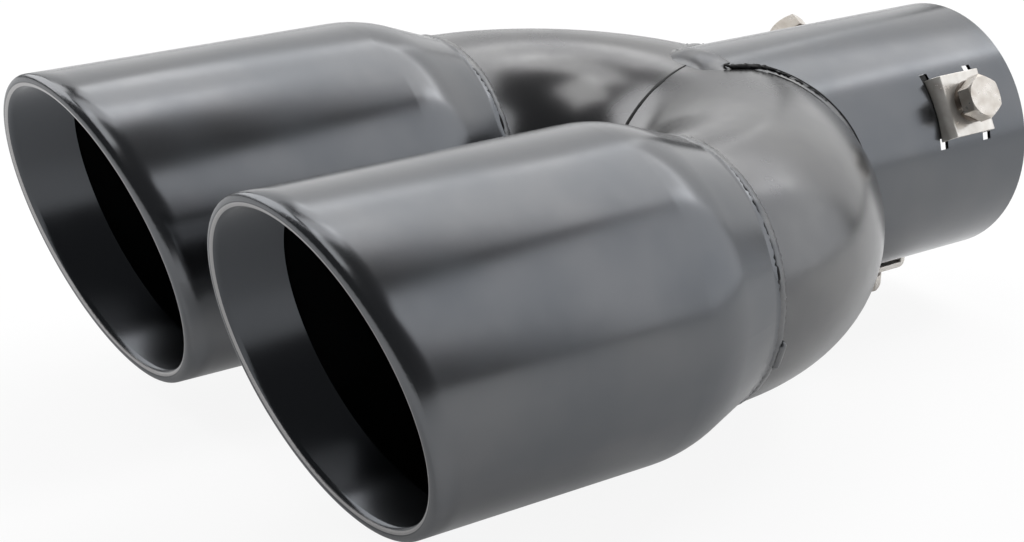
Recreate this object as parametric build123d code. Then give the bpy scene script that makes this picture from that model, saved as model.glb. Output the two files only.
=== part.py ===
from build123d import *
import math
import os

# Twin-outlet exhaust tip in coated stainless sheet, with a clamp-on inlet. Millimetres.
# +Y runs towards the tailpipe, +Z is up, and the origin is the centre of the inlet mouth.

# Outlet tips
tip_outer_d = 76.0
tip_gap = 18.0  # clear distance between the two tips
tip_length = 96.5  # neck to slash plane, on the tip's axis
tip_sheet = 1.2
slash_angle = 17.0  # the top of the mouth leads
shoulder_angle = 19.5  # slope of the cone between neck and barrel
shoulder_round = 36.0
neck_land = 0.9
neck_round = 5.0
neck_step = 0.5  # the neck stands this much proud of the bend
lip_width = 3.1  # outer wall to return wall, over both sheets
lip_fullness = 0.94  # 1 would make the rolled lip a full half round
return_depth = 17.0  # length of the return wall inside the mouth

# Bends
elbow_outer_d = 62.0
elbow_sheet = 1.2
seam_gap = 0.7  # root gap between the two bends
seam_sink = 0.45  # the weld lies this far below the bends' surface
opening_ledge = 0.8  # rim left round the gas opening in the bends' backs

# Inlet tube
inlet_clear = 1.0  # the bore over the bends' outside
inlet_sheet = 1.0
inlet_length = 82.5  # mouth to the middle of the bends
inlet_lap = 2.5  # the tube reaches past the bends' crest
socket_depth = 55.0  # straight length of the bore, for the tailpipe
socket_taper = 0.15  # the bore narrows by this behind the socket

# Welds
neck_weld_leg = 1.4
weld_bulge = 0.15
weld_toe = 0.2  # depth of the bead's toe under the bend's surface
weld_proud = 0.6
weld_throat = 0.7  # share of the inlet sheet
weld_width = 1.6
weld_seat = 0.08  # clearance between a bead and the bends

# Clamp plates
clamp_angles = {"right": 60.0, "lower": 180.0, "left": 300.0}  # from the top, towards +X
clamp_station = 22.0  # from the inlet mouth
plate_width = 16.0
plate_sheet = 1.5
plate_rise = 2.9  # top of the plate over the tube
plate_bend = 1.9
collar_wall = 1.3
collar_clear = 0.3
leg_inset = 0.3  # the legs' ends stay this far outside the bore
leg_flats = 36  # the legs' ends are cut to a polygon round the inlet
slot_inner_clear = 0.1
slot_outer_clear = 1.1
slot_overrun = 1.8  # the slots reach past the plate's edge

# Clamp bolts and lock washers
thread_d = 6.0
thread_clear = 0.06
bolt_length = 6.0
bolt_point = 0.7
head_across_flats = 10.0
head_height = 4.0
head_chamfer_angle = 25.0
wall_hole_clear = 0.6
washer_outer_d = 10.8
washer_thickness = 1.6
washer_clear = 0.15
washer_split = 0.9
washer_split_lean = 20.0
washer_split_turn = 200.0  # from the tailpipe side, about the bolt
screw_travel = 1.0  # washer to plate, before the bolt is tightened

# Worked-out sizes
tip_r = tip_outer_d / 2
bend_radius = (tip_outer_d + tip_gap) / 2
elbow_r = elbow_outer_d / 2
elbow_bore_r = elbow_r - elbow_sheet
inlet_bore_r = (elbow_outer_d + inlet_clear) / 2
inlet_r = inlet_bore_r + inlet_sheet
opening_r = elbow_bore_r - opening_ledge
neck_r = elbow_r + neck_step
mouth_r = tip_r - lip_width
lip_round = lip_fullness * lip_width / 2
plate_r = inlet_r + plate_rise
washer_seat_r = plate_r + screw_travel
head_seat_r = washer_seat_r + washer_thickness
thread_r = thread_d / 2

# Stations along Y
crest_y = -inlet_length
neck_y = crest_y - bend_radius
slash_y = neck_y - tip_length
lap_y = crest_y - inlet_lap
past_front_y = slash_y - 2 * tip_outer_d
clamp_y = -clamp_station

slash = math.radians(slash_angle)
slash_normal = (0, -math.cos(slash), -math.sin(slash))
slash_plane = Plane(origin=(0, slash_y, 0), x_dir=(1, 0, 0), z_dir=slash_normal)
bend_axis = Axis((0, neck_y, 0), (0, 0, 1))
on_floor = (Align.CENTER, Align.CENTER, Align.MIN)


def rod(radius, y_from, y_to):
    """Round bar on the inlet's axis."""
    return Pos(0, (y_from + y_to) / 2, 0) * Rot(90, 0, 0) * Cylinder(radius, abs(y_to - y_from))


def pipe(outer_r, inner_r, y_from, y_to):
    return rod(outer_r, y_from, y_to) - rod(inner_r, y_from, y_to)


def bend_ring(radius):
    """Full ring that both bends are a quarter of, filled to the given radius."""
    return Pos(0, neck_y, 0) * Torus(bend_radius, radius)


def slashed(solid, setback):
    return split(solid, bisect_by=slash_plane.offset(-setback), keep=Keep.BOTTOM)


def front_edges(solid):
    forward = Axis(slash_plane.origin, slash_plane.z_dir)
    return solid.faces().filter_by(GeomType.PLANE).sort_by(forward)[-1].edges()


def tip_blank(inset):
    """Neck, shoulder and barrel as a filled turning, set in from the outside by a sheet thickness."""
    slope = math.radians(shoulder_angle)
    drop = inset * math.tan(slope / 2)
    cone_y = neck_y - neck_land - drop
    barrel_y = cone_y - (tip_r - neck_r) / math.tan(slope)
    wall = FilletPolyline(
        (neck_r - inset, neck_y),
        (neck_r - inset, cone_y),
        (tip_r - inset, barrel_y),
        (tip_r - inset, past_front_y),
        radius=[neck_round + inset, shoulder_round - inset],
    )
    ends = Polyline(wall @ 1, (0, past_front_y), (0, neck_y), wall @ 0)
    return revolve(make_face(wall.edges() + ends.edges()), Axis.Y)


def mouth_plug(radius, depth):
    """Bar in the tip's mouth, from past the front to a cut parallel to the slash."""
    bar = rod(radius, neck_y, past_front_y)
    return bar - slashed(bar, depth * math.cos(slash))


def tip_shell():
    """One sheet: barrel, lip rolled in over the slash cut, and return wall parallel to the barrel."""
    outside = slashed(tip_blank(0), 0)
    outside = fillet(front_edges(outside), lip_round)

    hollow = slashed(tip_blank(tip_sheet), tip_sheet) - mouth_plug(mouth_r + tip_sheet, return_depth)
    shell = outside - hollow - mouth_plug(mouth_r, return_depth + tip_sheet)
    mouth_edge = front_edges(shell).sort_by(SortBy.LENGTH)[0]
    return fillet(mouth_edge, lip_round)


def elbow():
    """Right-hand bend, from the neck to the middle seam, with its back opened into the inlet."""
    end_plane = Plane(origin=(bend_radius, neck_y, 0), z_dir=(0, 1, 0))
    section = end_plane * (Circle(elbow_r) - Circle(elbow_bore_r))
    bend = revolve(section, bend_axis, 90)
    bend = split(bend, bisect_by=Plane.YZ.offset(seam_gap / 2), keep=Keep.TOP)
    return bend - rod(opening_r, crest_y, 0)


def clamp_place(angle):
    """Turns a piece built over the top of the inlet to its station round it."""
    return Pos(0, clamp_y, 0) * Rot(0, angle, 0)


def inlet_tube():
    bore = Polyline(
        (0, 0),
        (inlet_bore_r, 0),
        (inlet_bore_r, -socket_depth),
        (inlet_bore_r - socket_taper, lap_y),
        (0, lap_y),
        close=True,
    )
    tube = rod(inlet_r, lap_y, 0) - revolve(make_face(bore), Axis.Y) - bend_ring(elbow_r)
    slot_width = slot_inner_clear + plate_sheet + slot_outer_clear
    slot_y = plate_width / 2 + slot_outer_clear - slot_width / 2
    slot = Box(plate_width + 2 * slot_overrun, slot_width, inlet_r)
    hole = Cylinder(thread_r + wall_hole_clear, inlet_r)
    for angle in clamp_angles.values():
        at_wall = clamp_place(angle) * Pos(0, 0, inlet_r)
        tube -= [at_wall * hole, at_wall * Pos(0, slot_y, 0) * slot, at_wall * Pos(0, -slot_y, 0) * slot]
    return tube


def neck_weld():
    """Fillet weld in the step between the right-hand neck and bend."""
    leg_y = neck_y + neck_weld_leg
    middle = ((neck_r + elbow_r) / 2 + weld_bulge, neck_y + neck_weld_leg / 2 + weld_bulge)
    toe_r = elbow_r - weld_toe
    root_r = toe_r - neck_step
    face = ThreePointArc((neck_r, neck_y), middle, (toe_r, leg_y))
    back = Polyline((toe_r, leg_y), (root_r, leg_y), (root_r, neck_y), (neck_r, neck_y))
    bead = revolve(make_face(face.edges() + back.edges()), Axis.Y)
    return Pos(bend_radius, 0, 0) * bead - bend_ring(elbow_r + weld_seat)


def centre_weld():
    """Ring of weld in the gap between the two bends, sunk below their surface."""
    ring = Cylinder(elbow_r - seam_sink, seam_gap) - Cylinder(elbow_bore_r, seam_gap)
    ring = Pos(0, crest_y, 0) * Rot(0, 90, 0) * ring
    return ring - rod(opening_r, crest_y, 0)


def inlet_weld():
    """Bead along the coped end of the inlet tube, and across its two laps."""
    bead_r = inlet_r + weld_proud
    cover = bend_ring(inlet_bore_r + weld_throat * inlet_sheet)
    band = pipe(bead_r, inlet_r, lap_y, 0)
    laps = pipe(bead_r, elbow_r - weld_width, lap_y - weld_width, lap_y)
    return (band + laps) & (cover - bend_ring(elbow_r + weld_seat))


def clamp_plate():
    """Square folded plate: web over the tube, two legs down through its slots, and a tapped collar."""
    channel = Box(plate_width, plate_width, plate_r, align=on_floor)
    top_edges = channel.edges().filter_by(Axis.X).group_by(Axis.Z)[-1]
    channel = fillet(top_edges, plate_bend)
    inner_width = plate_width - 2 * plate_sheet
    hollow = Box(plate_width, inner_width, plate_r - plate_sheet, align=on_floor)
    hollow_edges = hollow.edges().filter_by(Axis.X).group_by(Axis.Z)[-1]
    hollow = fillet(hollow_edges, plate_bend - plate_sheet)
    leg_ends = RegularPolygon(inlet_bore_r + leg_inset, leg_flats, major_radius=False)
    leg_ends = Rot(90, 0, 0) * Rot(0, 0, 180 / leg_flats) * extrude(leg_ends, plate_width, both=True)
    plate = channel - hollow - leg_ends
    collar_z = inlet_r + collar_clear
    collar_height = plate_r - plate_sheet / 2 - collar_z
    collar = Cylinder(thread_r + collar_wall, collar_height, align=on_floor)
    plate += Pos(0, 0, collar_z) * collar
    return plate - Cylinder(thread_r + thread_clear, 2 * plate_r)


def clamp_bolt():
    head_r = head_across_flats / 2
    corner_r = head_r / math.cos(math.pi / 6)
    head = extrude(RegularPolygon(head_r, 6, major_radius=False), head_height)
    rise = (corner_r - head_r) * math.tan(math.radians(head_chamfer_angle))
    crown = Polyline(
        (0, 0),
        (corner_r, 0),
        (corner_r, head_height - rise),
        (head_r, head_height),
        (0, head_height),
        close=True,
    )
    head = head & revolve(Plane.XZ * make_face(crown), Axis.Z)
    shank = Cylinder(thread_r, bolt_length, align=(Align.CENTER, Align.CENTER, Align.MAX))
    shank = chamfer(shank.edges().group_by(Axis.Z)[0], bolt_point)
    return Pos(0, 0, head_seat_r) * (head + shank)


def lock_washer():
    ring = Cylinder(washer_outer_d / 2, washer_thickness)
    ring -= Cylinder(thread_r + washer_clear, washer_thickness)
    outward = (Align.CENTER, Align.MIN, Align.CENTER)
    gap = Box(washer_split, washer_outer_d, 2 * washer_thickness, align=outward)
    ring -= Rot(0, 0, washer_split_turn) * Rot(0, washer_split_lean, 0) * gap
    return Pos(0, 0, washer_seat_r + washer_thickness / 2) * ring


def mirrored(solid):
    return mirror(solid, about=Plane.YZ)


tip = tip_shell()
right_elbow = elbow()
right_neck_weld = neck_weld()
nodes = {
    "tip_shell_right": Pos(bend_radius, 0, 0) * tip,
    "tip_shell_left": Pos(-bend_radius, 0, 0) * tip,
    "elbow_right": right_elbow,
    "elbow_left": mirrored(right_elbow),
    "inlet_tube": inlet_tube(),
    "neck_weld_right": right_neck_weld,
    "neck_weld_left": mirrored(right_neck_weld),
    "centre_weld": centre_weld(),
    "inlet_weld": inlet_weld(),
}
for place, angle in clamp_angles.items():
    nodes[f"clamp_plate_{place}"] = clamp_place(angle) * clamp_plate()
    nodes[f"lock_washer_{place}"] = clamp_place(angle) * lock_washer()
    nodes[f"clamp_bolt_{place}"] = clamp_place(angle) * clamp_bolt()

os.makedirs("parts", exist_ok=True)
for name, solid in nodes.items():
    export_step(solid, f"parts/{name}.step")
    print(f"{name}: {len(solid.solids())} solid, {solid.volume:.1f} mm3")
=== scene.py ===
import math
import bmesh
import bpy
from mathutils import Matrix, Vector, noise


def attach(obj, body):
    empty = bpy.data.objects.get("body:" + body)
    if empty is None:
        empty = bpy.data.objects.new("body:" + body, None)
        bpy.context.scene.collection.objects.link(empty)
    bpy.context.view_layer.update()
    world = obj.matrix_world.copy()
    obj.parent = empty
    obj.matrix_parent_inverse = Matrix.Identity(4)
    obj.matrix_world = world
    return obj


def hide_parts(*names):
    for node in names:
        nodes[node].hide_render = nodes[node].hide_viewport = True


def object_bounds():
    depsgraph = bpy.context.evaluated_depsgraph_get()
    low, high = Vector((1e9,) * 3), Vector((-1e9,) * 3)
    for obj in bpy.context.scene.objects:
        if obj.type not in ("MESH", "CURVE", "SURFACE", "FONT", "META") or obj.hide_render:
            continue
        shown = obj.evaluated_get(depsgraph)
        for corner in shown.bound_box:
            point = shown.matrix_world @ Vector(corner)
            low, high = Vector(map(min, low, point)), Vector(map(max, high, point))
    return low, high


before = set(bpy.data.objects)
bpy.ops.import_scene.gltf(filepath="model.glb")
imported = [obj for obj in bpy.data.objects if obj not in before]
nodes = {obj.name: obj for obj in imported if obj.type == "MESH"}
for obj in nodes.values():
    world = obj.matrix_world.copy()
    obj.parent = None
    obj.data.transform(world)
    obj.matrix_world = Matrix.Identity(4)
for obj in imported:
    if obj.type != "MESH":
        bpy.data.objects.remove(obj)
cadLow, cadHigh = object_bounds()
mm = 0.001
print("frame loaded with", len(nodes), "nodes")


def hexColor(code):  # sRGB hex to the linear colour that shaders take
    channels = [int(code[i:i + 2], 16) / 255 for i in (1, 3, 5)]
    linear = [c / 12.92 if c <= 0.04045 else ((c + 0.055) / 1.055) ** 2.4 for c in channels]
    return (*linear, 1)


def addNode(tree, kind, inputs=None, **settings):
    node = tree.nodes.new(kind)
    for name, value in settings.items():
        setattr(node, name, value)
    for name, value in (inputs or {}).items():
        if isinstance(value, bpy.types.NodeSocket):
            tree.links.new(value, node.inputs[name])
        else:
            node.inputs[name].default_value = value
    return node


def newMaterial(name):
    material = bpy.data.materials.new(name)
    material.use_nodes = True
    material.node_tree.nodes.clear()
    return material, material.node_tree


# Camera: where the photograph was taken from, degrees and mm
photoView = {
    "azimuth": 52.58,
    "elevation": 21.83,
    "roll": 1.58,
    "aim": (0, -145.5, -15.6),
    "distance": 541.7,
    "lens": 80.85,
    "shift": (0.0154, 0.0167),
    "nearest": 10,  # what is closer isn't drawn
}


def placeCamera(view):
    around, above = math.radians(view["azimuth"]), math.radians(view["elevation"])
    turn = Matrix.Rotation(around, 3, "Z") @ Matrix.Rotation(math.pi / 2 - above, 3, "X")
    turn = turn @ Matrix.Rotation(math.radians(view["roll"]), 3, "Z")
    lens = bpy.data.cameras.new("photoCamera")
    lens.lens = view["lens"]
    lens.shift_x, lens.shift_y = view["shift"]
    lens.clip_start = view["nearest"] * mm
    camera = bpy.data.objects.new("photoCamera", lens)
    spot = Vector(view["aim"]) + turn @ Vector((0, 0, view["distance"]))
    camera.matrix_world = Matrix.Translation(spot * mm) @ turn.to_4x4()
    bpy.context.scene.collection.objects.link(camera)
    bpy.context.scene.camera = camera


placeCamera(photoView)
print("camera placed")

# Studio: softboxes in a half ring behind and above, one high in front for the mouths;
# the camera's right stays dark. Degrees and mm
softboxes = {
    "backRight": {
        "azimuth": 145, "elevation": 25, "size": (1250, 1300), "radiance": 1.12,
        "color": "#fafcff",  # a touch cooler than the rest
    },
    "back": {"azimuth": 195, "elevation": 22, "size": (1100, 1080), "radiance": 0.95},
    "backLeft": {"azimuth": 242, "elevation": 23, "size": (1150, 1120), "radiance": 0.85},
    "topBack": {"azimuth": 207, "elevation": 53, "size": (1500, 640), "radiance": 1.75},
    "topLeft": {"azimuth": 250, "elevation": 72, "size": (900, 480), "radiance": 1.65},
    "left": {"azimuth": 296, "elevation": 30, "size": (1050, 1200), "radiance": 2.15},
    "front": {"azimuth": 350, "elevation": 72, "size": (750, 600), "radiance": 1.45},
    "floorWash": {
        "azimuth": 168, "elevation": 56, "size": (500, 500), "radiance": 5.5,
        "mirrored": False,  # too hard a spot to show in the metal
    },
}
studio = {
    "centre": (0, -120, 0),  # mm, what the softboxes face
    "distance": 1400,  # mm
    "lampColor": "#ffffff",
    "lampWatts": 4,  # for a square metre of softbox at a radiance of 1
    "floorSize": 8.0,  # m
    "floorDrop": 2.6,  # mm, room for the lower bolt to come out
    "floorColor": "#f4f4f4",
    "roomLight": 0.03,
    "roomColor": "#8fa3c0",
    "white": "#ffffff",
    "whiteLevel": 1.0,
    "backdropSeen": 1.0,  # share of plain white that the camera sees
    "backdropMirrored": 0.08,  # and that the metal mirrors
    "paperSeen": 0.9,  # less than all, so that the shadow shows
    "paperMirrored": 0.3,
}


def whiteShare(tree, seen, mirrored):  # how much plain white each kind of ray finds
    ray = addNode(tree, "ShaderNodeLightPath").outputs
    share = addNode(tree, "ShaderNodeMath", {0: ray["Is Camera Ray"], 1: seen},
                    operation="MULTIPLY").outputs[0]
    for kind in ("Is Glossy Ray", "Is Transmission Ray"):
        part = addNode(tree, "ShaderNodeMath", {0: ray[kind], 1: mirrored},
                       operation="MULTIPLY").outputs[0]
        share = addNode(tree, "ShaderNodeMath", {0: share, 1: part},
                        operation="MAXIMUM").outputs[0]
    return share


def hangSoftboxes():
    centre = Vector(studio["centre"])
    for name, box in softboxes.items():
        lamp = bpy.data.lights.new(name, "AREA")
        lamp.shape = "RECTANGLE"
        lamp.size, lamp.size_y = [side * mm for side in box["size"]]
        lamp.color = hexColor(box.get("color", studio["lampColor"]))[:3]
        lamp.energy = box["radiance"] * studio["lampWatts"] * lamp.size * lamp.size_y
        holder = bpy.data.objects.new(name, lamp)
        around, above = math.radians(box["azimuth"]), math.radians(box["elevation"])
        level = math.cos(above)
        away = Vector((math.sin(around) * level, -math.cos(around) * level, math.sin(above)))
        turn = (-away).to_track_quat("-Z", "Y").to_matrix().to_4x4()
        spot = (centre + away * studio["distance"]) * mm
        holder.matrix_world = Matrix.Translation(spot) @ turn
        holder.visible_glossy = box.get("mirrored", True)
        bpy.context.scene.collection.objects.link(holder)


def paintBackdrop():
    world = bpy.data.worlds.new("studioRoom")
    world.use_nodes = True
    tree = world.node_tree
    tree.nodes.clear()
    room = addNode(tree, "ShaderNodeBackground", {
        "Color": hexColor(studio["roomColor"]), "Strength": studio["roomLight"]})
    white = addNode(tree, "ShaderNodeBackground", {
        "Color": hexColor(studio["white"]), "Strength": studio["whiteLevel"]})
    share = whiteShare(tree, studio["backdropSeen"], studio["backdropMirrored"])
    mix = addNode(tree, "ShaderNodeMixShader", {
        0: share, 1: room.outputs[0], 2: white.outputs[0]})
    addNode(tree, "ShaderNodeOutputWorld", {"Surface": mix.outputs[0]})
    bpy.context.scene.world = world


def layFloor():
    # White paper: matt, no gloss, keeps the object's soft shadow
    material, tree = newMaterial("white sweep paper, matt")
    paper = addNode(tree, "ShaderNodeBsdfDiffuse", {"Color": hexColor(studio["floorColor"])})
    white = addNode(tree, "ShaderNodeEmission", {
        "Color": hexColor(studio["white"]), "Strength": studio["whiteLevel"]})
    share = whiteShare(tree, studio["paperSeen"], studio["paperMirrored"])
    mix = addNode(tree, "ShaderNodeMixShader", {
        0: share, 1: paper.outputs[0], 2: white.outputs[0]})
    addNode(tree, "ShaderNodeOutputMaterial", {"Surface": mix.outputs[0]})
    mesh = bpy.data.meshes.new("floor")
    shape = bmesh.new()
    bmesh.ops.create_grid(shape, x_segments=1, y_segments=1, size=studio["floorSize"] / 2)
    level = cadLow.z - studio["floorDrop"] * mm
    bmesh.ops.translate(shape, verts=shape.verts, vec=(0, 0, level))
    shape.to_mesh(mesh)
    shape.free()
    mesh.materials.append(material)
    floor = bpy.data.objects.new("floor", mesh)
    bpy.context.scene.collection.objects.link(floor)


hangSoftboxes()
paintBackdrop()
layFloor()
bpy.context.scene.view_settings.view_transform = "Standard"
print("studio lit")

# Black coated stainless sheet: a thin dark metallic coat over polished steel, satin and
# faintly cool, with soft edged reflections
blackCoat = {
    "color": "#67686a",
    "tint": "#606265",
    "metallic": 0.95,
    "roughness": (0.18, 0.24),
    "cloud": 22,  # mm, slow drift of tone and gloss
    "cloudDetail": 3.0,
    "toneSpan": (0.35, 0.65),  # part of the drift that the tone runs over
    "glossSpan": (0.3, 0.7),  # and the gloss
    "grain": 0.9,  # mm, tooth of the coat, coarser than the real one so that it shows
    "grainDetail": 2.0,
    "bump": 0.02,
    "bumpDepth": 0.2,  # mm
}
# The mouth's soft roll, mm: the coat leans out towards the rim over the last of the barrel
# and on the return wall
mouth = {
    "axis": 47.0,  # each barrel's, from the middle plane
    "crest": 36.4,  # radius inside which the return wall lies
    "rimY": -225.9,  # the rim at the barrel's axis
    "slash": 0.306,  # mm further out for each mm up
    "wallEnd": 20,
    "wallLean": 0.65,
    # painted shade: the return wall inside the mouth is coloured darker than the coat
    "wallShadeColor": "#4d4f52",
    "edge": 7,
    "edgeLean": 0.5,
    "crestHighlight": (35.75, 0.4),  # painted highlight: a lighter ring along the lip's crest, radius and half width
    "crestHighlightColor": "#9a9999",
}


def rollMouth(tree, place, normal, tone):
    axes = addNode(tree, "ShaderNodeSeparateXYZ", {"Vector": place}).outputs
    across = addNode(tree, "ShaderNodeMath", {0: axes["X"]}, operation="ABSOLUTE")
    across = addNode(tree, "ShaderNodeMath", {0: across.outputs[0], 1: mouth["axis"] * mm},
                     operation="SUBTRACT")
    across = addNode(tree, "ShaderNodeCombineXYZ", {"X": across.outputs[0], "Z": axes["Z"]})
    reach = addNode(tree, "ShaderNodeVectorMath", {0: across.outputs[0]},
                    operation="LENGTH").outputs["Value"]
    depth = addNode(tree, "ShaderNodeMath", {0: axes["Z"], 1: mouth["slash"], 2: axes["Y"]},
                    operation="MULTIPLY_ADD")
    depth = addNode(tree, "ShaderNodeMath", {0: depth.outputs[0], 1: mouth["rimY"] * mm},
                    operation="SUBTRACT").outputs[0]
    near = addNode(tree, "ShaderNodeMath", {0: depth, 1: mouth["wallEnd"] * mm},
                   operation="LESS_THAN").outputs[0]
    wall = addNode(tree, "ShaderNodeMath", {0: reach, 1: mouth["crest"] * mm},
                   operation="LESS_THAN")
    wall = addNode(tree, "ShaderNodeMath", {0: wall.outputs[0], 1: near},
                   operation="MULTIPLY").outputs[0]
    edge = addNode(tree, "ShaderNodeMapRange", {
        "Value": depth, "From Min": mouth["edge"] * mm, "From Max": 0,
        "To Max": -mouth["edgeLean"]}, interpolation_type="SMOOTHSTEP")
    lean = addNode(tree, "ShaderNodeMix", {
        0: wall, 2: edge.outputs[0], 3: -mouth["wallLean"]})
    lean = addNode(tree, "ShaderNodeCombineXYZ", {"Y": lean.outputs[0]})
    lean = addNode(tree, "ShaderNodeVectorMath", {0: normal, 1: lean.outputs[0]},
                   operation="ADD")
    normal = addNode(tree, "ShaderNodeVectorMath", {0: lean.outputs[0]},
                     operation="NORMALIZE").outputs[0]
    # painted shade: the return wall takes a darker colour
    tone = addNode(tree, "ShaderNodeMix", {0: wall, 6: tone, 7: hexColor(mouth["wallShadeColor"])},
                   data_type="RGBA").outputs[2]
    # painted highlight: a lighter ring on the lip's crest
    radius, half = mouth["crestHighlight"]
    crestHighlight = addNode(tree, "ShaderNodeMath", {0: reach, 1: radius * mm, 2: half * mm},
                   operation="COMPARE")
    crestHighlight = addNode(tree, "ShaderNodeMath", {0: crestHighlight.outputs[0], 1: near},
                   operation="MULTIPLY").outputs[0]
    tone = addNode(tree, "ShaderNodeMix", {0: crestHighlight, 6: tone, 7: hexColor(mouth["crestHighlightColor"])},
                   data_type="RGBA").outputs[2]
    return normal, tone


def coatedMetal(name, coat, rolled=False):
    material, tree = newMaterial(name)
    place = addNode(tree, "ShaderNodeTexCoord").outputs["Object"]
    cloud = addNode(tree, "ShaderNodeTexNoise", {
        "Vector": place, "Scale": 1 / (coat["cloud"] * mm), "Detail": coat["cloudDetail"],
    }).outputs["Fac"]
    grain = addNode(tree, "ShaderNodeTexNoise", {
        "Vector": place, "Scale": 1 / (coat["grain"] * mm), "Detail": coat["grainDetail"],
    }).outputs["Fac"]
    least, most = coat["toneSpan"]
    mottle = addNode(tree, "ShaderNodeMapRange", {
        "Value": cloud, "From Min": least, "From Max": most})
    tone = addNode(tree, "ShaderNodeMix", {
        0: mottle.outputs[0], 6: hexColor(coat["color"]), 7: hexColor(coat["tint"]),
    }, data_type="RGBA").outputs[2]
    least, most = coat["glossSpan"]
    glossy, dull = coat["roughness"]
    rough = addNode(tree, "ShaderNodeMapRange", {
        "Value": cloud, "From Min": least, "From Max": most,
        "To Min": glossy, "To Max": dull})
    normal = addNode(tree, "ShaderNodeBump", {
        "Height": grain, "Strength": coat["bump"], "Distance": coat["bumpDepth"] * mm,
    }).outputs[0]
    if rolled:
        normal, tone = rollMouth(tree, place, normal, tone)
    shader = addNode(tree, "ShaderNodeBsdfPrincipled", {
        "Base Color": tone,
        "Metallic": coat["metallic"],
        "Roughness": rough.outputs[0],
        "Normal": normal,
    })
    addNode(tree, "ShaderNodeOutputMaterial", {"Surface": shader.outputs[0]})
    return material


coated = coatedMetal("black coated stainless, satin", blackCoat, rolled=True)
# The same coat on bent tube: duller, with broader reflections; its lighter grey is painted light
litTubeCoat = dict(blackCoat, color="#6e6e6e", tint="#666667", roughness=(0.22, 0.28), cloud=16)
litTube = coatedMetal("black coated bent tube, dull satin, painted lighter", litTubeCoat)
# The same coat on a weld: rougher, and the ripples break the reflections up
weldCoat = dict(blackCoat, color="#6e6e6e", tint="#636466", roughness=(0.24, 0.34),
                cloud=7, grain=0.7, bump=0.08)
welded = coatedMetal("coated weld bead, rippled", weldCoat)
# Bright zinc on pressed sheet: pale and faintly warm, half mirror and half milky
zincCoat = dict(blackCoat, metallic=0.5, color="#ece8e1", tint="#dcd6ce",
                roughness=(0.18, 0.28), cloud=3, grain=0.5, bump=0.03)
zincPlate = coatedMetal("bright zinc plate", zincCoat)
# Zinc on cold headed steel: darker and duller than the plates, with more of the metal
boltCoat = dict(zincCoat, metallic=0.7, color="#d9d3cb", tint="#c2bab0",
                roughness=(0.24, 0.38))
boltZinc = coatedMetal("bright zinc on cold headed steel", boltCoat)
# Thin zinc on spring steel: brown grey and dull, and darkened further as painted shade, so that it
# reads as a dark line under the bolt's head
springShadedCoat = dict(zincCoat, color="#6d6258", tint="#4c443d", roughness=(0.3, 0.42))
springSteelShaded = coatedMetal("zinc plated spring steel", springShadedCoat)
# Scorched crust, and painted shade in gaps and crevices: matt black and gritty, mirrors nothing
sootAndShadeCoat = dict(blackCoat, metallic=0.0, color="#0b0b0c", tint="#060606",
                roughness=(0.55, 0.75), grain=0.6, bump=0.6)
sootAndShade = coatedMetal("scorched weld crust and painted gap shade", sootAndShadeCoat)
for name, node in nodes.items():
    if name.startswith(("tip", "inlet_tube")):
        material = coated
    elif name.startswith("elbow"):
        material = litTube
    elif "weld" in name:
        material = welded
    else:
        material = zincPlate
    node.data.materials.clear()
    node.data.materials.append(material)
print("materials set")

# Sizes that the pieces share with the solids, mm
inletRadius, elbowRadius, bendRadius = 32.5, 31.0, 47.0
neckY, crestY, lapY, clampY = -129.5, -82.5, -85.0, -22.0
mergeGap = 0.002  # mm, points closer than this are one
sharpFrom = 40  # degrees, edges that stay crisp on flat sided pieces


def finishPiece(name, shape, material, body, replaced=(), flat=False):
    bmesh.ops.remove_doubles(shape, verts=shape.verts, dist=mergeGap)
    bmesh.ops.recalc_face_normals(shape, faces=shape.faces)
    bmesh.ops.scale(shape, verts=shape.verts, vec=(mm, mm, mm))
    mesh = bpy.data.meshes.new(name)
    shape.to_mesh(mesh)
    shape.free()
    mesh.shade_smooth()
    mesh.materials.append(material)
    piece = bpy.data.objects.new(name, mesh)
    bpy.context.scene.collection.objects.link(piece)
    if flat:
        mesh.set_sharp_from_angle(angle=math.radians(sharpFrom))
        piece.modifiers.new("flatFaces", "WEIGHTED_NORMAL").keep_sharp = True
    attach(piece, body)
    if replaced:
        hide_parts(*replaced)


def sweepBead(shape, stations, sides=12, closed=False):  # oval section along its stations
    rings = []
    count = len(stations)
    for i, (spot, outward, half, proud) in enumerate(stations):
        ahead = stations[(i + 1) % count if closed else min(i + 1, count - 1)][0]
        behind = stations[i - 1 if closed else max(i - 1, 0)][0]
        along = (ahead - behind).normalized()
        across = along.cross(outward).normalized()
        section = Matrix((across * half, across.cross(along) * -proud, along))
        section = section.transposed().to_4x4()
        section.translation = spot
        ring = bmesh.ops.create_circle(shape, segments=sides, radius=1, matrix=section)["verts"]
        rings.append(list({edge for vert in ring for edge in vert.link_edges}))
    pairs = list(zip(rings, rings[1:]))
    if closed:
        pairs.append((rings[-1], rings[0]))
    for first, second in pairs:
        bmesh.ops.bridge_loops(shape, edges=first + second)
    if not closed:
        bmesh.ops.holes_fill(shape, edges=rings[0] + rings[-1], sides=sides)


def shares(count):  # even steps from 0 to 1
    return [i / (count - 1) for i in range(count)]


def between(start, end, share):
    return start + (end - start) * share


def taper(share, start, end):  # at each end: how thin it starts, how fast it fills out
    return min(1, start[0] + start[1] * share, end[0] + end[1] * (1 - share))


def uneven(spot, grain, amount):  # size that wanders along a bead
    return 1 + amount * noise.noise(spot / grain)


def roughen(shape, grain, depth):  # lumps of a given size, mm
    shape.normal_update()
    for vert in shape.verts:
        vert.co += vert.normal * depth * noise.noise(vert.co / grain)


# Where the inlet sits on the bends: lapped over their crests, coped down their sides
inletSeat = {"lapEnd": 14, "ease": 8}  # degrees from the crest


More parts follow.
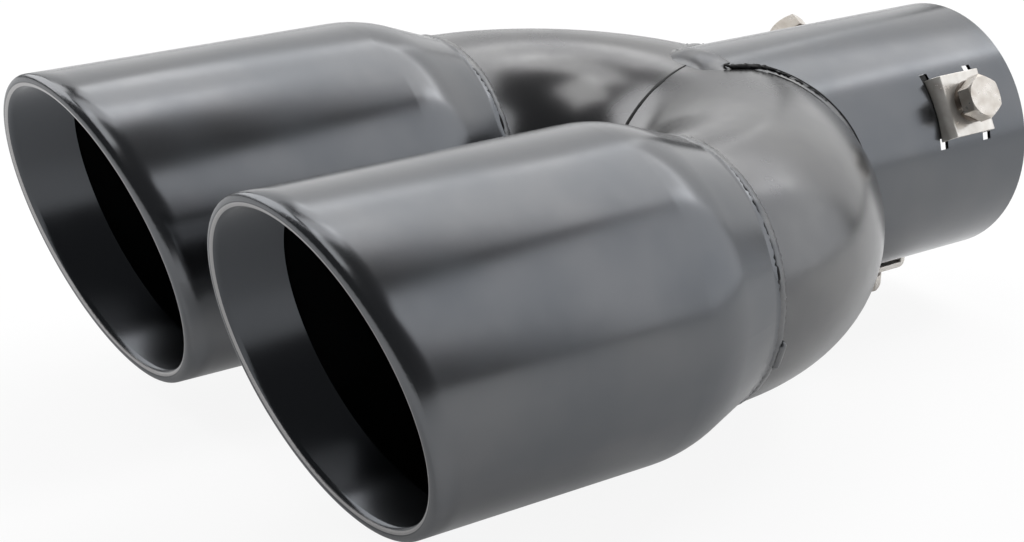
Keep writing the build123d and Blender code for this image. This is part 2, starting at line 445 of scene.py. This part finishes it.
def seamStation(angle):
    x, z = inletRadius * math.sin(angle), inletRadius * math.cos(angle)
    inside = math.sqrt(max(elbowRadius ** 2 - z ** 2, 0))
    coped = neckY + math.sqrt((bendRadius + inside) ** 2 - x ** 2)
    fromCrest = math.degrees(math.asin(min(abs(math.sin(angle)), 1)))
    share = min(max((fromCrest - inletSeat["lapEnd"]) / inletSeat["ease"], 0), 1)
    share = share * share * (3 - 2 * share)  # 0 on the lap, 1 on the cope
    spot = Vector((x, between(lapY, coped, share), z))
    bend = Vector((spot.x, spot.y - neckY, 0)).normalized() * bendRadius
    fromBend = (spot - Vector((bend.x, bend.y + neckY, 0))).normalized()
    radial = Vector((x, 0, z)).normalized()
    return {
        "spot": spot,
        "outward": (radial + fromBend).normalized(),
        "radial": radial,
        "fromBend": fromBend,
        "share": share,
        "corner": math.sin(radial.angle(fromBend) / 2),
    }


# One bead all round: a wide smooth ramp on the lap, a fillet in the corner of the cope, mm
inletBead = {
    "stations": 420,
    "sides": 20,
    "lap": {"half": 4.2, "proud": 1.4, "sink": 1.6, "ahead": 0.8, "lean": 0.25},
    "leg": 2.2,
    "rise": 0.24,  # above the fillet's flat face
    "sink": 0.12,
    "ripple": 0.05,
    "pitch": 1.1,
    "drift": (5, 2),  # grain, and radians that the ripples stray by
    "lump": (2.2, 0.06),
}


def buildInletBead(bead):
    shape = bmesh.new()
    stations = []
    travelled, last = 0, None
    grain, stray = bead["drift"]
    for i in range(bead["stations"]):
        seam = seamStation(2 * math.pi * i / bead["stations"])
        spot, lap = seam["spot"], bead["lap"]
        travelled += (spot - last).length if last else 0
        last = spot
        proud = bead["rise"] + bead["leg"] * seam["corner"]
        cope = {"half": bead["leg"], "proud": proud, "sink": bead["sink"], "ahead": 0, "lean": 0}
        now = {key: between(lap[key], cope[key], seam["share"]) for key in lap}
        phase = 2 * math.pi * travelled / bead["pitch"] + stray * noise.noise(spot / grain)
        swell = 1 + bead["ripple"] * math.sin(phase) * seam["share"]
        outward = (seam["outward"] - Vector((0, now["lean"], 0))).normalized()
        spot = spot - seam["outward"] * now["sink"] - Vector((0, now["ahead"], 0))
        stations.append((spot, outward, now["half"] * swell, now["proud"] * swell))
    sweepBead(shape, stations, sides=bead["sides"], closed=True)
    roughen(shape, *bead["lump"])
    finishPiece("inletBead", shape, welded, "pipework", ["inlet_weld"])


# Painted shade: thin dark lines in the crevices where the bead runs out on the tube and on the
# bend, degrees and mm
toeLine = {
    "from": 24,
    "to": 104,
    "half": 0.2,
    "least": 0.03,
    "proud": 0.14,
    "reach": 2.1,
    "ends": ((0, 8), (0.1, 8)),
    "ragged": (3, 0.6),
    "stations": 120,
    "sides": 6,
    "step": 0.01,  # radians each way, for the line's direction
}


def buildToeLines(line):
    for name, side in (("toeLine_right", 1), ("toeLine_left", -1)):
        shape = bmesh.new()
        for surface in ("radial", "fromBend"):
            stations = []
            for share in shares(line["stations"]):
                angle = side * math.radians(between(line["from"], line["to"], share))
                seam = seamStation(angle)
                ahead, behind = seamStation(angle + line["step"]), seamStation(angle - line["step"])
                away = (ahead["spot"] - behind["spot"]).cross(seam[surface]).normalized()
                if (away.y < 0) == (surface == "radial"):
                    away = -away
                size = line["half"] * taper(share, *line["ends"])
                size = max(size * uneven(seam["spot"], *line["ragged"]), line["least"])
                spot = seam["spot"] + away * line["reach"]
                stations.append((spot, seam[surface], size, line["proud"]))
            sweepBead(shape, stations, sides=line["sides"])
        finishPiece(name, shape, sootAndShade, "pipework")


# Scorched lumps where the weld on the right starts, degrees and mm
sootCrust = {
    "from": 15,
    "to": 46,
    "thick": 0.95,
    "thin": 0.2,
    "thinning": 1.9,  # how soon it is thin
    "flat": 0.7,
    "lift": 0.4,
    "onBead": 0.8,  # share of the bead's height that it sits at
    "ends": ((0.25, 6), (0.25, 8)),
    "ragged": (1.1, 0.45),
    "lump": (0.8, 0.5),
    "stations": 90,
    "sides": 10,
}


def buildSootCrust(crust):
    shape = bmesh.new()
    stations = []
    for share in shares(crust["stations"]):
        seam = seamStation(math.radians(between(crust["from"], crust["to"], share)))
        spot, outward = seam["spot"], seam["outward"]
        size = between(crust["thin"], crust["thick"], max(1 - share * crust["thinning"], 0))
        size *= taper(share, *crust["ends"]) * uneven(spot, *crust["ragged"])
        height = inletBead["leg"] * seam["corner"] * seam["share"]
        lift = crust["lift"] + height * crust["onBead"]
        stations.append((spot + outward * lift, outward, size, size * crust["flat"]))
    sweepBead(shape, stations, sides=crust["sides"])
    roughen(shape, *crust["lump"])
    finishPiece("sootCrust", shape, sootAndShade, "pipework")


crests = (("top", 0, 1), ("bottom", 180, -1))  # where the seam between the bends starts


def crestStation(start, turn, degrees, sink):
    angle = math.radians(start + turn * degrees)
    outward = Vector((0, -math.sin(angle), math.cos(angle)))
    return Vector((0, crestY, 0)) + outward * (elbowRadius - sink), outward


# Smooth fill at the start of the seam, degrees and mm
seamFill = {
    "from": -4,
    "to": 9,
    "half": 1.3,
    "proud": 0.42,
    "sink": 0.14,
    "ends": ((1, 0), (0.2, 5)),
    "stations": 40,
}


def buildSeamFill(fill):
    for crest, start, turn in crests:
        shape = bmesh.new()
        stations = []
        for share in shares(fill["stations"]):
            degrees = between(fill["from"], fill["to"], share)
            spot, outward = crestStation(start, turn, degrees, fill["sink"])
            size = taper(share, *fill["ends"])
            stations.append((spot, outward, fill["half"] * size, fill["proud"] * size))
        sweepBead(shape, stations)
        finishPiece(f"seamFill_{crest}", shape, coated, "pipework")


# The open part of the seam between the bends, as a dark strip of painted shade in the groove,
# degrees and mm
seamLine = {
    "from": 8,
    "to": 100,
    "half": 0.6,
    "proud": 0.16,
    "sink": 0.02,
    "ends": ((0.15, 4), (1, 0)),
    "ragged": (1 / 9, 0.35),  # grain as a share of the bend's radius
    "stations": 60,
    "sides": 8,
}


def buildSeamLines(line):
    for crest, start, turn in crests:
        shape = bmesh.new()
        stations = []
        for share in shares(line["stations"]):
            degrees = between(line["from"], line["to"], share)
            spot, outward = crestStation(start, turn, degrees, line["sink"])
            size = taper(share, *line["ends"]) * uneven(outward, *line["ragged"])
            stations.append((spot, outward, line["half"] * size, line["proud"]))
        sweepBead(shape, stations, sides=line["sides"])
        finishPiece(f"seamLine_{crest}", shape, sootAndShade, "pipework")


# Low rippled bead round each neck, with a tack lug low on its outer side, degrees and mm
neckBead = {
    "radius": 31.1,
    "offset": 0.6,
    "half": 1.3,
    "proud": 0.42,
    "lean": 0.12,
    "ripple": 0.1,
    "pitch": 1.3,
    "ragged": (9, 0.22),
    "lump": (1.4, 0.12),
    "stations": 260,
}
tackLug = {
    "from": 101,
    "to": 115,
    "offset": 2.3,
    "half": 1.2,
    "proud": 0.85,
    "ends": ((0.35, 5), (0.35, 5)),
    "stations": 24,
}
# Short gap in each neck's bead, as a dark strip of painted shade
neckGap = {
    "right": (67, 77),
    "left": (53, 62),
    "radius": 31.45,
    "offset": 0.05,
    "half": 0.42,
    "proud": 0.2,
    "arch": (0.04, 0.96),  # part of a half wave that the size follows
    "stations": 20,
    "sides": 8,
}


def neckStation(side, angle, radius, offset):
    x, z = math.sin(angle), math.cos(angle)
    outward = Vector((x, neckBead["lean"], z)).normalized()
    return Vector((side * bendRadius + radius * x, neckY + offset, radius * z)), outward


def buildNeckBead(place, side, bead, lug):
    shape = bmesh.new()
    stations = []
    for i in range(bead["stations"]):
        angle = 2 * math.pi * i / bead["stations"]
        spot, outward = neckStation(side, angle, bead["radius"], bead["offset"])
        phase = angle * bead["radius"] * 2 * math.pi / bead["pitch"]
        swell = (1 + bead["ripple"] * math.sin(phase)) * uneven(spot, *bead["ragged"])
        stations.append((spot, outward, bead["half"] * swell, bead["proud"] * swell))
    sweepBead(shape, stations, closed=True)
    roughen(shape, *bead["lump"])
    stations = []
    for share in shares(lug["stations"]):
        angle = side * math.radians(between(lug["from"], lug["to"], share))
        spot, outward = neckStation(side, angle, elbowRadius, lug["offset"])
        size = taper(share, *lug["ends"])
        stations.append((spot, outward, lug["half"] * size, lug["proud"] * size))
    sweepBead(shape, stations)
    finishPiece(f"neckBead_{place}", shape, welded, "pipework",
                [f"neck_weld_{place}"])


def buildNeckGap(place, side, gap):
    shape = bmesh.new()
    stations = []
    for share in shares(gap["stations"]):
        angle = math.radians(between(*gap[place], share))
        spot, outward = neckStation(side, angle, gap["radius"], gap["offset"])
        size = math.sin(math.pi * between(*gap["arch"], share))
        stations.append((spot, outward, gap["half"] * size, gap["proud"] * size))
    sweepBead(shape, stations, sides=gap["sides"])
    finishPiece(f"neckGap_{place}", shape, sootAndShade, "pipework")


# Clamp plates, lock washers and bolts: the solids with softened edges and a drawn thread, mm
clampAngles = {"right": 60, "lower": 180, "left": 300}
hardware = {
    "flattest": 1.5,  # degrees, triangles flatter than this join up
    "softFrom": 22,  # degrees, edges sharper than this are rounded
    "edge": 0.24,
    "washerEdge": 0.22,
    "headSeat": 38.0,
    "seatGap": 0.001,
    "shankEnd": 32.0,
    "threadRadius": 2.98,
    "rootRadius": 2.5,
    "pitch": 1.0,
    "crest": (0.45, 0.55),  # of the pitch
    "turns": 8,
    "turnSteps": 24,
    "turnGap": 0.01,
    "runIn": 1,  # thread below the shank's end, cut away again
    "point": 0.7,
}


def clampPlace(angle):  # the clamp's own frame, +Z out along its bolt
    return Matrix.Translation((0, clampY, 0)) @ Matrix.Rotation(math.radians(angle), 4, "Y")


def nodeCopy(name):  # the solid's own triangles, joined up, in mm
    shape = bmesh.new()
    shape.from_mesh(nodes[name].data)
    bmesh.ops.scale(shape, verts=shape.verts, vec=(1 / mm, 1 / mm, 1 / mm))
    bmesh.ops.remove_doubles(shape, verts=shape.verts, dist=mergeGap)
    bmesh.ops.dissolve_limit(shape, angle_limit=math.radians(hardware["flattest"]),
                             verts=shape.verts, edges=shape.edges)
    return shape


def softenEdges(shape, width):
    least = math.radians(hardware["softFrom"])
    sharp = [edge for edge in shape.edges
             if len(edge.link_faces) == 2 and edge.calc_face_angle(0) > least]
    bmesh.ops.bevel(shape, geom=sharp, offset=width, segments=2, affect="EDGES",
                    profile=0.5, material=-1, clamp_overlap=True)


def cutOff(shape, point, beyond):  # takes off what lies beyond and closes the cut
    geom = shape.verts[:] + shape.edges[:] + shape.faces[:]
    cut = bmesh.ops.bisect_plane(shape, geom=geom, plane_co=point, plane_no=beyond,
                                 clear_outer=True)
    rim = [item for item in cut["geom_cut"] if isinstance(item, bmesh.types.BMEdge)]
    bmesh.ops.edgeloop_fill(shape, edges=rim)


def threadedShank(place):
    shape = bmesh.new()
    root, outer, pitch = hardware["rootRadius"], hardware["threadRadius"], hardware["pitch"]
    end, seat, turns = hardware["shankEnd"], hardware["headSeat"], hardware["turns"]
    rising, falling = hardware["crest"]
    profile = ((root, 0), (outer, rising * pitch), (outer, falling * pitch), (root, pitch))
    low = end - hardware["runIn"]
    verts = [shape.verts.new((radius, 0, low + lift)) for radius, lift in profile]
    edges = [shape.edges.new(pair) for pair in zip(verts, verts[1:])]
    bmesh.ops.spin(shape, geom=verts + edges, cent=(0, 0, 0), axis=(0, 0, 1),
                   dvec=(0, 0, pitch / hardware["turnSteps"]), angle=2 * math.pi * turns,
                   steps=turns * hardware["turnSteps"])
    bmesh.ops.remove_doubles(shape, verts=shape.verts, dist=hardware["turnGap"])
    cutOff(shape, (0, 0, end), (0, 0, -1))
    cutOff(shape, (0, 0, seat), (0, 0, 1))
    for vert in shape.verts:  # the point's cone
        reach = math.hypot(vert.co.x, vert.co.y)
        most = outer - max(end + hardware["point"] - vert.co.z, 0)
        if reach > most:
            vert.co.x *= most / reach
            vert.co.y *= most / reach
    bmesh.ops.transform(shape, matrix=place, verts=shape.verts)
    mesh = bpy.data.meshes.new("shank")
    shape.to_mesh(mesh)
    shape.free()
    return mesh


def buildHardware():
    for name, angle in clampAngles.items():
        place = clampPlace(angle)
        plate = nodeCopy(f"clamp_plate_{name}")
        softenEdges(plate, hardware["edge"])
        finishPiece(f"clampPlate_{name}", plate, zincPlate, "pipework",
                    [f"clamp_plate_{name}"], flat=True)
        washer = nodeCopy(f"lock_washer_{name}")
        softenEdges(washer, hardware["washerEdge"])
        finishPiece(f"lockWasher_{name}", washer, springSteelShaded, f"{name}_bolt",
                    [f"lock_washer_{name}"], flat=True)
        bolt = nodeCopy(f"clamp_bolt_{name}")
        seat = place @ Vector((0, 0, hardware["headSeat"] + hardware["seatGap"]))
        cutOff(bolt, seat, place.to_3x3() @ Vector((0, 0, -1)))
        softenEdges(bolt, hardware["edge"])
        shank = threadedShank(place)
        bolt.from_mesh(shank)
        bpy.data.meshes.remove(shank)
        finishPiece(f"clampBolt_{name}", bolt, boltZinc, f"{name}_bolt",
                    [f"clamp_bolt_{name}"], flat=True)


# Painted shadow beside the plates' legs: dark strips where the slots' gaps lie in shade; all but
# one of the slots' ends stay open, mm
slotShadow = {
    "radius": 31.9,
    "proud": 0.4,
    "runs": (  # start, end, offset along the tube, half width
        (-9.6, 7.0, -8.55, 0.56),
        (-9.6, -8.1, -7.75, 1.34),
        (-7.4, 7.0, 8.55, 0.56),
    ),
    "stations": 16,
    "sides": 8,
}


def buildSlotShadows(shadow):
    radius = shadow["radius"]
    for name, angle in clampAngles.items():
        place = clampPlace(angle)
        shape = bmesh.new()
        for start, end, offset, half in shadow["runs"]:
            stations = []
            for share in shares(shadow["stations"]):
                across = between(start, end, share)
                lift = math.sqrt(radius ** 2 - across ** 2)
                spot = place @ Vector((across, offset, lift))
                outward = place.to_3x3() @ Vector((across, 0, lift)) / radius
                stations.append((spot, outward, half, shadow["proud"]))
            sweepBead(shape, stations, sides=shadow["sides"])
        finishPiece(f"slotShadow_{name}", shape, sootAndShade, "pipework")


buildInletBead(inletBead)
buildToeLines(toeLine)
buildSootCrust(sootCrust)
buildSeamFill(seamFill)
buildSeamLines(seamLine)
for place, side in (("right", 1), ("left", -1)):
    buildNeckBead(place, side, neckBead, tackLug)
    buildNeckGap(place, side, neckGap)
print("welds laid")
buildHardware()
buildSlotShadows(slotShadow)
print("clamps fitted")
